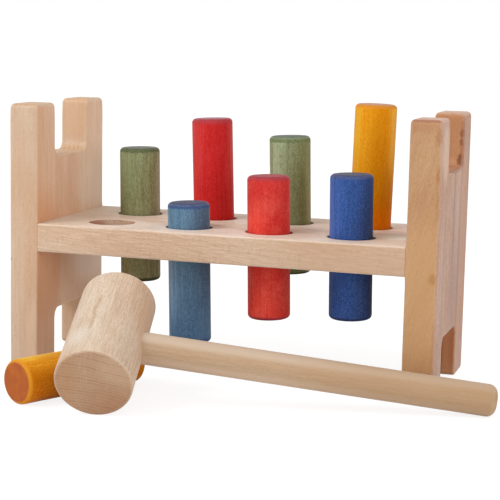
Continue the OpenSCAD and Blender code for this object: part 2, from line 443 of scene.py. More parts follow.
def meshOf(name, points, faces):
    # joins the seams and poles of a surface and turns its faces outwards
    mesh = bpy.data.meshes.new(name)
    mesh.from_pydata(np.asarray(points).reshape(-1, 3).tolist(), [], faces)
    bm = bmesh.new()
    bm.from_mesh(mesh)
    bmesh.ops.remove_doubles(bm, verts=bm.verts, dist=surface["weld"])
    bmesh.ops.recalc_face_normals(bm, faces=bm.faces)
    bm.to_mesh(mesh)
    bm.free()
    return mesh


def rodProfile(radius, length, lowEdge, highEdge, sideRows, faceRows=7, edgeRows=7):
    # radius and height along a rod's outline, from the middle of its low end to the middle of its
    # high end: a flat, a quarter circle, the side, a quarter circle and a flat
    turn = quarter(edgeRows)[1:]
    flat = np.sqrt(np.linspace(0, 1, faceRows + 1))
    side = np.linspace(lowEdge, length - highEdge, sideRows + 1)[1:]
    r = np.concatenate([flat * (radius - lowEdge), radius - lowEdge + lowEdge * np.sin(turn),
                        np.full(sideRows, radius), radius - highEdge + highEdge * np.cos(turn),
                        flat[::-1][1:] * (radius - highEdge)])
    z = np.concatenate([np.zeros(faceRows + 1), lowEdge - lowEdge * np.cos(turn), side,
                        length - highEdge + highEdge * np.sin(turn), np.full(faceRows, length)])
    return r, z


def revolve(r, z, segments, dent=None):
    # profile carried round the z axis; dent(u, v) shrinks the radius, with u round and v along
    u = np.arange(segments)[:, None] / segments
    v = (np.arange(len(r)) / (len(r) - 1))[None, :]
    size = np.maximum(r[None, :] - (0 if dent is None else dent(u, v)) * (r > 0)[None, :], 0)
    angle = 2 * math.pi * u
    grid = np.stack(np.broadcast_arrays(size * np.cos(angle), size * np.sin(angle), z[None, :]), axis=-1)
    return grid, gridFaces(segments, len(r))


def roundedOutline(shape, radii, arcRows, step):
    # closed outline with square corners rounded off: points and outward normals, anticlockwise;
    # each corner is an arc about a point one radius in from both sides, inwards or outwards as the
    # outline turns, and each side has a point about every step
    points, normals = [], []
    shape = np.array(shape, float)
    for i, corner in enumerate(shape):
        before, after = corner - shape[i - 1], shape[(i + 1) % len(shape)] - corner
        d1, d2 = before / np.linalg.norm(before), after / np.linalg.norm(after)
        sign = 1 if d1[0] * d2[1] - d1[1] * d2[0] > 0 else -1
        n1, n2 = np.array([d1[1], -d1[0]]), np.array([d2[1], -d2[0]])
        centre = corner + (d2 - d1) * radii[i]
        t = quarter(arcRows)[:, None]
        arc = np.cos(t) * n1 + np.sin(t) * n2
        points.append(centre + sign * radii[i] * arc)
        normals.append(arc)
        run = np.linalg.norm(after) - radii[i] - radii[(i + 1) % len(shape)]
        parts = max(int(run / step), 1)
        s = (np.arange(1, parts) / parts)[:, None]
        points.append(points[-1][-1] + s * run * d2)
        normals.append(np.repeat(n2[None, :], parts - 1, axis=0))
    return np.concatenate(points), np.concatenate(normals)


def sweep(name, outline, normals, insets, levels):
    # outline in the y-z plane carried along x: each row moves in by its inset, and the first and
    # last rows are closed with one face each
    flat = outline[:, None, :] - normals[:, None, :] * insets[:, :, None]
    grid = np.concatenate([levels[:, :, None], flat], axis=2)
    rows, columns = grid.shape[:2]
    caps = [[i * columns + column for i in range(rows)] for column in (0, columns - 1)]
    return meshOf(name, grid, gridFaces(rows, columns) + caps)


def addObject(name, data):
    made = bpy.data.objects.new(name, data)
    bpy.context.scene.collection.objects.link(made)
    return made


def cutAway(mesh, cutters):
    # mesh less the cutters, by an exact difference
    board = addObject("blank", mesh)
    tools = []
    for cutter in cutters:
        tool = addObject("tool", cutter)
        change = board.modifiers.new("cut", "BOOLEAN")
        change.operation = "DIFFERENCE"
        change.solver = "EXACT"
        change.object = tool
        tools.append(tool)
    bpy.context.view_layer.update()
    done = bpy.data.meshes.new_from_object(board.evaluated_get(bpy.context.evaluated_depsgraph_get()))
    for thing in [board, *tools]:
        bpy.data.objects.remove(thing)
    return done


def shade(mesh, flats):
    # smooth faces, but for those that lie square to an axis where flats is true
    normals = np.empty(len(mesh.polygons) * 3)
    mesh.polygons.foreach_get("normal", normals)
    square = np.abs(normals.reshape(-1, 3)).max(axis=1) > surface["square"]
    mesh.polygons.foreach_set("use_smooth", ~(square & flats))
    mesh.set_sharp_from_angle(angle=math.radians(surface["sharp"]))


def addField(mesh, name, domain, values):
    made = mesh.attributes.new(name, "FLOAT_VECTOR", domain)
    made.data.foreach_set("vector", values.astype(np.float32).ravel())


def addGrain(mesh, rows, pith, face):
    # grainAt: where a point lies in the trunk, in metres, with the pith along z; rows are the
    # trunk's axes in the mesh's own, and pith is where the mesh's origin lies from the pith.
    # lie: how far a corner's normal follows the piece's face, its grain, and a turned edge, which
    # is the sine of twice its angle to the face
    co = np.empty(len(mesh.vertices) * 3)
    mesh.vertices.foreach_get("co", co)
    rows = np.array(rows, float)
    addField(mesh, "grainAt", "POINT", co.reshape(-1, 3) @ rows.T + np.array(pith))
    normals = np.empty(len(mesh.loops) * 3)
    mesh.corner_normals.foreach_get("vector", normals)
    normals = normals.reshape(-1, 3)
    across = np.clip(np.abs(normals @ np.array(face, float)), 0, 1)
    edge = 2 * across * np.sqrt(1 - across ** 2)
    addField(mesh, "lie", "CORNER", np.stack([across, np.abs(normals @ rows[2]), edge], axis=1))


def moved(spots, origin):
    # spots with their centres counted from origin
    return [dict(spot, centre=origin + spot["centre"]) for spot in spots]


def addPiece(name, mesh, place, material, body, slot, *nodes):
    mesh.transform(place)
    mesh.name = name
    mesh.materials.clear()
    mesh.materials.append(material)
    piece = addObject(name, mesh)
    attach(piece, body)
    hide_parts(*nodes)


# Where things are, read from the frame

def corners(node):
    low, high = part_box(node)
    return np.array(low), np.array(high)


def placing(x, y, z, origin):
    # turns the axes to x, y and z, and moves the origin
    return Matrix.Translation(origin) @ Matrix(np.array([x, y, z]).T.tolist()).to_4x4()


def rodAt(node, forwards, aside=(1, 0, 0)):
    # a rod's axis is the direction that its surface faces least; returns its placing, with z
    # along it from its low end and x as near aside as can be, its radius and its length
    mesh = frame["nodes"][node].data
    mesh.calc_loop_triangles()
    co = np.array([v.co for v in mesh.vertices])
    tri = co[np.array([t.vertices[:] for t in mesh.loop_triangles])]
    area = np.cross(tri[:, 1] - tri[:, 0], tri[:, 2] - tri[:, 0]) / 2
    size = np.linalg.norm(area, axis=1)
    keep = size > 0
    unit = area[keep] / size[keep, None]
    z = np.linalg.eigh((unit * size[keep, None]).T @ unit)[1][:, 0]
    z = z * math.copysign(1, z @ np.array(forwards, float))
    x = np.array(aside, float) - (np.array(aside, float) @ z) * z
    x = x / np.linalg.norm(x)
    y = np.cross(z, x)
    axes = np.array([x, y, z])
    local = co @ axes.T
    low, high = local.min(axis=0), local.max(axis=0)
    foot = np.array([(low[0] + high[0]) / 2, (low[1] + high[1]) / 2, low[2]]) @ axes
    return placing(x, y, z, foot), (high[1] - low[1]) / 2, high[2] - low[2]


def bodyOf(node):
    return next(name for name, nodes in frame["record"]["behaviour"]["bodies"].items() if node in nodes)


def camel(node):
    first, *others = node.split("_")
    return first + "".join(word.capitalize() for word in others)


upright = [(1, 0, 0), (0, 1, 0), (0, 0, 1)]  # grain along z
lengthwise = [(0, 1, 0), (0, 0, 1), (1, 0, 0)]  # grain along x


# End panels

panel = dict(
    notchWidth=0.049,
    notchDepth=0.032,
    notchRadius=0.006,
    prongRadius=0.003,
    arris=0.0014,
    arrisDrift=0.3,  # how unevenly the arris was sanded
    driftTurns=(3, 5, 8, 13),  # how often each wave of it turns on the way round the outline
    driftAt=0.3,
    driftSeed=11,
    topEase=0.7,  # how much rounder it is at the prongs' tops
    topRun=0.01,
    seatArris=0.12,  # share of the arris that is left where the shelf was sanded flush
    seatRun=0.004,
    arcRows=8,
    step=0.003,  # about how far apart the points of the outline are
)


def panelMesh(name, size, inner, seat):
    # an H carried through the board's thickness, whose rims are quarter circles of the arris: they
    # move in by 1 less the sine of the turn and back by 1 less its cosine.
    # inner is the side that the shelf is on, and seat the shelf's height there, from the middle
    depth, height, thick = size[1] / 2, size[2] / 2, size[0] / 2
    half, floor = panel["notchWidth"] / 2, height - panel["notchDepth"]
    shape = [(half, -floor), (half, -height), (depth, -height)]
    shape += [(y, -z) for y, z in reversed(shape)]
    shape += [(-y, -z) for y, z in shape]
    r, n = panel["prongRadius"], panel["notchRadius"]
    outline, normals = roundedOutline(shape, [n, r, r, r, r, n] * 2, panel["arcRows"], panel["step"])
    u = np.arange(len(outline))[:, None] / len(outline)
    top = np.clip(1 + (outline[:, 1:] - height) / panel["topRun"], 0, 1)
    drift = ripple(u, panel["driftAt"], panel["driftSeed"], panel["driftTurns"])
    outer = panel["arris"] * (1 + panel["arrisDrift"] * drift + panel["topEase"] * top)
    away = np.maximum(seat[0] - outline[:, 1:], outline[:, 1:] - seat[1]) / panel["seatRun"]
    left = panel["seatArris"]
    seated = outer * (left + (1 - left) * np.clip(away, 0, 1))
    turn = quarter(panel["arcRows"])[None, :]
    insets, levels = [], []
    for side in (1, -1):
        arris = seated if side == inner else outer
        insets.append((arris * (1 - np.sin(turn)))[:, ::side])
        levels.append((side * (thick - arris * (1 - np.cos(turn))))[:, ::side])
    return sweep(name, outline, normals, np.concatenate(insets, axis=1), np.concatenate(levels, axis=1))


dowel = dict(
    fit=0.00005,
    endGap=0.0004,
    edge=0.001,
    flutes=14,
    fluteDepth=0.00022,
    fluteEnd=0.003,
    fluteSegments=8,
    rows=dict(sideRows=8, faceRows=3, edgeRows=4),
    pith=(0.02, 0.0, 0.0),
)
bore = dict(segments=48, rows=dict(sideRows=2, faceRows=1, edgeRows=4))


def boreMesh(radius, length, edge, segments):
    # tool for a blind hole: a rod with quarter circles of edge at both ends
    return meshOf("bore", *revolve(*rodProfile(radius, length, edge, edge, **bore["rows"]), segments))


def dowelPlaces(node):
    # three in a row along y; low end, spacing, radius and length come from the node's box
    low, high = corners(node)
    radius = (high[2] - low[2]) / 2
    pitch = (high[1] - low[1]) / 2 - radius
    middle = (low + high) / 2
    return [(low[0], middle[1] + i * pitch, middle[2]) for i in (-1, 0, 1)], radius, high[0] - low[0]


def dowelBores(node):
    places, radius, length = dowelPlaces(node)
    fit, gap = dowel["fit"], dowel["endGap"]
    bores = []
    for x, y, z in places:
        tool = boreMesh(radius + fit, length + 2 * gap, dowel["edge"], bore["segments"])
        tool.transform(Matrix.Translation((x - gap, y, z)) @ Matrix.Rotation(math.pi / 2, 4, "Y"))
        bores.append(tool)
    return bores


def makePanel(node, dowels, look, pith, lean=0.0):
    # lean tips the grain from upright towards the right, in radians
    low, high = corners(node)
    middle = (low + high) / 2
    inner = -int(math.copysign(1, middle[0]))
    seat = [corner[2] - middle[2] for corner in corners("peg_shelf")]
    rows = np.array([(math.cos(lean), 0, -math.sin(lean)), (0, 1, 0), (math.sin(lean), 0, math.cos(lean))])
    mesh = panelMesh(node, high - low, inner, seat)
    mesh.transform(Matrix.Translation(middle))
    mesh = cutAway(mesh, dowelBores(dowels))
    shade(mesh, True)
    addGrain(mesh, rows, pith - rows @ middle, (1, 0, 0))
    board = beech(camel(node) + "Beech", dict(look, spots=moved(look["spots"], middle)))
    addPiece(camel(node) + "Board", mesh, Matrix.Identity(4), board, "bench", "bench_beech", node)


# spot centres are from the middle of the panel
leftLook = dict(
    woodFinish, reach=70, ringWidth=2.9, edge="D9C1AA", face="EBC7A8", tint="F6E4D6", ring="C6A080",
    ray="B08866", end="D2AE8C", endRing="A97A56", worn="E6CFB6", pale="E6D0B8", ringShare=0.3,
    bandShare=0.2, streakShare=0.25, dashShare=0.25, rayShare=0.15, ripple=1.1, still=True, edgeCalm=0.0,
    endRings=0.5, endRays=0.25, endPores=0.3, wornShare=0.35, rough=0.55, relief=0.00008,
    spots=[
        dict(centre=(0.009, -0.04, -0.014), size=(0.008, 0.04, 0.05), tint="D48E5A", share=0.5, on="face"),
        dict(centre=(0.009, 0.0, 0.02), size=(0.008, 0.012, 0.06), tint="D89C70", share=0.28, ragged=0.5,
             on="face"),
        dict(centre=(0.0, 0.026, 0.072), size=(0.03, 0.006, 0.024), tint="DCAA7C", share=0.4, ragged=0.8,
             on="edge"),
        dict(centre=(0.009, 0.04, 0.045), size=(0.008, 0.02, 0.07), tint="F4D6BC", share=0.35, on="face"),
        dict(centre=(0.009, 0.034, -0.018), size=(0.008, 0.044, 0.028), tint="FAE0CC", share=0.68,
             on="face"),
        dict(centre=(0.009, 0.03, 0.024), size=(0.008, 0.03, 0.02), tint="FAE6D8", share=0.15, on="face"),
        # a paler patch low on the front, by the inner arris: painted light that lifts the shadow of the
        # mallet and the loose peg
        dict(centre=(0.009, -0.051, -0.06), size=(0.01, 0.006, 0.03), tint="EAD0B6", share=0.4, on="edge"),
        dict(centre=(-0.0085, -0.051, -0.014), size=(0.0012, 0.002, 0.0011), tint="6E5442", share=0.8),
    ],
)
rightLook = dict(
    leftLook, reach=130, edge="C59C74", face="D0AC99", tint="EEDCC8", ring="A07260", ray="946A44",
    pale="DCB898", end="D6AE98", endRing="A87C60", worn="D8AE92", ringShare=0.35, bandShare=0.35,
    streakShare=0.4, dashShare=0.5, rayShare=0.3, wornShare=0.4, edgeCalm=0.65,
    spots=[
        dict(centre=(0.0, -0.051, -0.02), size=(0.03, 0.006, 0.06), tint="DDB484", share=0.35, on="edge"),
        dict(centre=(0.0, -0.051, 0.079), size=(0.03, 0.004, 0.008), tint="B47C5C", share=0.4, on="edge"),
        dict(centre=(0.0, -0.0505, 0.0795), size=(0.03, 0.002, 0.0014), tint="8E4C30", share=0.55,
             ragged=0.8, by="Mottle"),
        dict(centre=(0.0086, -0.051, 0.049), size=(0.0024, 0.006, 0.007), tint="AA6E2C", share=0.7,
             ragged=1.8, on="edge"),
        dict(centre=(0.0088, -0.051, 0.032), size=(0.0018, 0.006, 0.012), tint="A66C2C", share=0.6,
             ragged=1.8, on="edge"),
        dict(centre=(0.0074, -0.051, -0.009), size=(0.004, 0.006, 0.004), tint="AE7430", share=0.55,
             ragged=1.8, on="edge"),
        dict(centre=(0.009, -0.051, -0.045), size=(0.0018, 0.006, 0.02), tint="A87038", share=0.5,
             ragged=1.6, on="edge"),
        dict(centre=(0.0, -0.051, -0.08), size=(0.03, 0.006, 0.014), tint="9C5E24", share=0.7, ragged=0.8,
             on="edge"),
        dict(centre=(0.0, 0.0, 0.048), size=(0.04, 0.05, 0.004), tint="A86C44", share=0.8, ragged=0.4,
             on="edge"),
        dict(centre=(0.0, 0.0245, 0.066), size=(0.03, 0.004, 0.03), tint="C08058", share=0.4, ragged=1.6,
             by="Mottle", on="edge"),
        dict(centre=(0.0076, -0.051, 0.07), size=(0.003, 0.005, 0.006), tint="A0603C", share=0.4,
             ragged=1.8, by="Mottle"),
        dict(centre=(0.0087, 0.0262, 0.062), size=(0.0014, 0.0035, 0.02), tint="8C5844", share=0.45,
             ragged=1.4, by="Mottle"),
        dict(centre=(0.0084, 0.0245, 0.06), size=(0.0016, 0.003, 0.03), tint="9C5E42", share=0.6,
             ragged=1.6, by="Mottle"),
        dict(centre=(0.008, 0.0245, 0.068), size=(0.0022, 0.003, 0.003), tint="7E4226", share=0.7,
             ragged=1.0, by="Mottle"),
        dict(centre=(0.008, 0.0245, 0.0628), size=(0.002, 0.003, 0.0028), tint="7E4226", share=0.7,
             ragged=1.0, by="Mottle"),
        dict(centre=(0.0076, 0.0245, 0.0515), size=(0.003, 0.004, 0.0055), tint="743C20", share=0.8,
             ragged=1.2, by="Mottle"),
        dict(centre=(0.0087, 0.004, 0.0478), size=(0.0018, 0.024, 0.0016), tint="8A5236", share=0.8,
             ragged=1.4, by="Mottle"),
        dict(centre=(0.0, 0.0245, -0.064), size=(0.03, 0.004, 0.024), tint="B46C42", share=0.65, ragged=1.4,
             on="edge"),
        dict(centre=(0.0, 0.0245, -0.064), size=(0.002, 0.004, 0.02), tint="74341A", share=0.5, ragged=1.2,
             on="edge"),
        dict(centre=(0.0078, 0.0245, -0.064), size=(0.004, 0.004, 0.02), tint="94482A", share=0.3,
             ragged=1.2, on="edge"),
        dict(centre=(0.009, -0.034, 0.06), size=(0.003, 0.014, 0.022), tint="E6C4AC", share=0.6, ragged=0.8,
             on="face"),
        dict(centre=(0.009, 0.046, 0.05), size=(0.003, 0.004, 0.03), tint="7A6E74", share=0.4, ragged=1.2,
             on="face"),
        dict(centre=(0.009, 0.04, 0.0), size=(0.004, 0.03, 0.1), tint="BE845F", share=0.5, ragged=1.0,
             on="face"),
        dict(centre=(0.009, 0.0, 0.01), size=(0.003, 0.004, 0.05), tint="8E6A66", share=0.45, ragged=1.6,
             on="face"),
        dict(centre=(0.009, 0.004, -0.02), size=(0.003, 0.016, 0.04), tint="9E7468", share=0.45, ragged=1.8,
             on="face"),
        dict(centre=(0.009, 0.022, -0.012), size=(0.003, 0.005, 0.06), tint="8C6868", share=0.5, ragged=1.6,
             on="face"),
        dict(centre=(0.009, -0.03, -0.01), size=(0.003, 0.005, 0.07), tint="B08A7C", share=0.45, ragged=2.0,
             on="face"),
    ],
)

makePanel("left_end_panel", "left_dowels", leftLook, pith=(0.085, 0.012, 0.0))
makePanel("right_end_panel", "right_dowels", rightLook, pith=(-0.012, -0.13, 0.31), lean=0.3)
print("end panels made")


# Peg shelf

shelf = dict(
    arris=0.0012,
    arcRows=8,
    step=0.02,
    endEase=0.00025,
    rim=0.0007,
    rimRows=8,
    hole=0.014,
    holeSegments=72,
    ringFit=0.00005,
    over=0.001,  # how far a cutter stands out of the board
    grainDip=0.075,  # how far the grain falls towards the right, radians
    pith=(0.03, 0.05, 0.0),
)
shelfLook = dict(
    leftLook, edge="DCC3AB", face="F4E2D2", tint="FAF0E8", ring="B28A6E", ray="A47A5C", ringWidth=3.1,
    worn="F2E4D4", pale="F2E2D0", ringShare=0.3, bandShare=0.1, streakShare=0.35, dashShare=0.35,
    end="C4917A", endRing="A06C54",
    spots=[
        dict(centre=(-0.105, 0.0, 0.0085), size=(0.035, 0.1, 0.008), tint="D6BA98", share=0.45, on="face"),
        # the next three: pale, warm spots on the right end of the top, painted light that lifts the shadows
        # of the pegs and the right panel and adds their warm bounce
        dict(centre=(0.108, 0.0, 0.0085), size=(0.03, 0.1, 0.008), tint="F8DCC0", share=0.35, on="face"),
        dict(centre=(0.1, 0.04, 0.0085), size=(0.07, 0.024, 0.008), tint="FFF0E0", share=1.0, on="face"),
        dict(centre=(0.099, -0.015, 0.0085), size=(0.018, 0.013, 0.008), tint="FFF4DC", share=0.9,
             on="face"),
        dict(centre=(0.118, -0.051, 0.0), size=(0.11, 0.006, 0.03), tint="C09878", share=0.5, on="edge"),
    ],
)
rings = sorted(node for node in frame["nodes"] if node.startswith("grip_ring"))


def holeCutter(ring, thick):
    # tool for one hole: a turned profile with rims as quarter circles at both faces, and the groove
    # that its ring sits in
    low, high = corners(ring)
    half, groove, width = thick / 2, (high[0] - low[0]) / 2 + shelf["ringFit"], (high[2] - low[2]) / 2
    hole, top = shelf["hole"], half + shelf["over"]
    turn = quarter(shelf["rimRows"])
    rimR = hole + shelf["rim"] * (1 - np.sin(turn))
    rimZ = half - shelf["rim"] * (1 - np.cos(turn))
    r = np.concatenate([[0, rimR[0]], rimR, [hole, groove, groove, hole], rimR[::-1], [rimR[0], 0]])
    z = np.concatenate([[top, top], rimZ, [width, width, -width, -width], -rimZ[::-1], [-top, -top]])
    cutter = meshOf("cutter", *revolve(r, z, shelf["holeSegments"]))
    cutter.transform(Matrix.Translation((low + high) / 2))
    return cutter


def makeShelf():
    # a rectangle with rounded corners carried along x, and drawn in by a chamfer at both ends
    low, high = corners("peg_shelf")
    size, middle = high - low, (low + high) / 2
    end, y, z = size / 2
    outline, normals = roundedOutline([(-y, -z), (y, -z), (y, z), (-y, z)], [shelf["arris"]] * 4,
                                      shelf["arcRows"], shelf["step"])
    ease = shelf["endEase"]
    insets = np.tile([ease, 0, 0, ease], (len(outline), 1))
    levels = np.tile([-end, ease - end, end - ease, end], (len(outline), 1))
    mesh = sweep("shelf", outline, normals, insets, levels)
    mesh.transform(Matrix.Translation(middle))
    tools = [holeCutter(ring, size[2]) for ring in rings]
    mesh = cutAway(mesh, tools + dowelBores("left_dowels") + dowelBores("right_dowels"))
    shade(mesh, True)
    dip = shelf["grainDip"]
    rows = [(0, 1, 0), (math.sin(dip), 0, math.cos(dip)), (math.cos(dip), 0, -math.sin(dip))]
    addGrain(mesh, rows, shelf["pith"], (0, 0, 1))
    board = beech("shelfBeech", dict(shelfLook, spots=moved(shelfLook["spots"], middle)))
    addPiece("pegShelfBoard", mesh, Matrix.Identity(4), board, "bench", "bench_beech", "peg_shelf")


makeShelf()
print("shelf made")


# Dowels and grip rings, inside

dowelLook = dict(
    leftLook, edge="D8B48C", face="D8B48C", ring="B48A60", wornShare=0.2, still=False, spots=[],
)


def makeDowels(node, material):
    # rods whose sides are drawn in by flutes: the upper half of a cosine round the rod, which fades
    # out towards both ends
    places, radius, length = dowelPlaces(node)
    r, z = rodProfile(radius, length, dowel["edge"], dowel["edge"], **dowel["rows"])
    side = np.clip(np.minimum(z, length - z) / dowel["fluteEnd"], 0, 1)[None, :]

    def flutes(u, v):
        return dowel["fluteDepth"] * side * np.clip(np.cos(2 * math.pi * dowel["flutes"] * u), 0, 1)

    grid, faces = revolve(r, z, dowel["flutes"] * dowel["fluteSegments"], flutes)
    points, quads = [], []
    for x, y, h in places:
        first = len(points) * grid.shape[0] * grid.shape[1]
        quads += [[first + i for i in face] for face in faces]
        points.append(np.stack([x + grid[..., 2], y + grid[..., 1], h - grid[..., 0]], axis=-1))
    mesh = meshOf(node, np.array(points), quads)
    shade(mesh, False)
    addGrain(mesh, lengthwise, dowel["pith"], (1, 0, 0))
    addPiece(camel(node) + "Fluted", mesh, Matrix.Identity(4), material, "bench", "dowel_beech", node)


dowelBeech = beech("dowelBeech", dowelLook)
makeDowels("left_dowels", dowelBeech)
makeDowels("right_dowels", dowelBeech)

gripRing = dict(lip=0.01278, lipWidth=0.002, corner=0.0003, cornerRows=4, segments=96)
ringLook = dict(
    base="2C2A28", dust="5A544C", dustShare=0.5, dustScale=180.0, dustFade=(0.45, 0.75), dustRough=0.2,
    rough=0.6, pebbleScale=2600.0, relief=0.00004)


def makeRing(node, material):
    # a section carried round z: square outside, and a lip between two slopes inside. Each corner
    # is a curve of the second degree between points one radius down either side
    low, high = corners(node)
    outer, half = (high[0] - low[0]) / 2, (high[2] - low[2]) / 2
    lip, flat = gripRing["lip"], gripRing["lipWidth"] / 2
    slope = lip + half - flat
    section = [(lip, -flat), (slope, -half), (outer, -half)]
    section = np.array(section + [(r, -z) for r, z in reversed(section)])
    t = np.linspace(0, 1, gripRing["cornerRows"] + 1)[:, None]
    rounded = []
    for i, corner in enumerate(section):
        a, b = section[i - 1] - corner, section[(i + 1) % len(section)] - corner
        a, b = a / np.linalg.norm(a) * gripRing["corner"], b / np.linalg.norm(b) * gripRing["corner"]
        rounded.append(corner + (1 - t) ** 2 * a + t ** 2 * b)
    path = np.concatenate(rounded + [rounded[0][:1]])
    grid, faces = revolve(path[:, 0], path[:, 1], gripRing["segments"])
    mesh = meshOf(node, grid, faces)
    shade(mesh, False)
    place = Matrix.Translation((low + high) / 2)
    addPiece(camel(node) + "Rubber", mesh, place, material, "bench", "ring_rubber", node)


ringRubber = rubber("gripRubber", ringLook)
for ring in rings:
    makeRing(ring, ringRubber)
print("dowels and grip rings made")


# Pegs

peg = dict(
    edge=0.0026,
    segments=72,
    sideRows=22,
    dent=0.00005,
    dentAlong=2,
    pithOut=(0.018, 0.034),  # between which distances from its pith a peg was turned
    pithAside=(-0.01, 0.01),
    ragged=0.5,
)
stainLook = dict(
    stainFinish, reach=26, ringWidth=2.2, lowAt=0.01, highAt=0.055, ringShare=0.2, bandShare=0.3,
    streakShare=0.2, mottleShare=0.3, dashShare=0.25, paleShare=0.12, rayShare=0.08, cloudShare=0.1,
    fleckShare=0.22, wornShare=0.4, rimFrom=0.02, rimSpread=0.35, rimDepth=0.0, rimFade=0.0004, ripple=1.1,
    sides=[], toneSwing=0.05, cloudScale=110.0, fleckScale=1500.0, lineSwing=0.0024, lineWorn=0.5,
    rimSpecks=0.35, endRings=0.4, endMottle=0.25, endCloud=0.15, footFade=(0.002, 0.004),
    endFade=(0.8, 0.99),
)
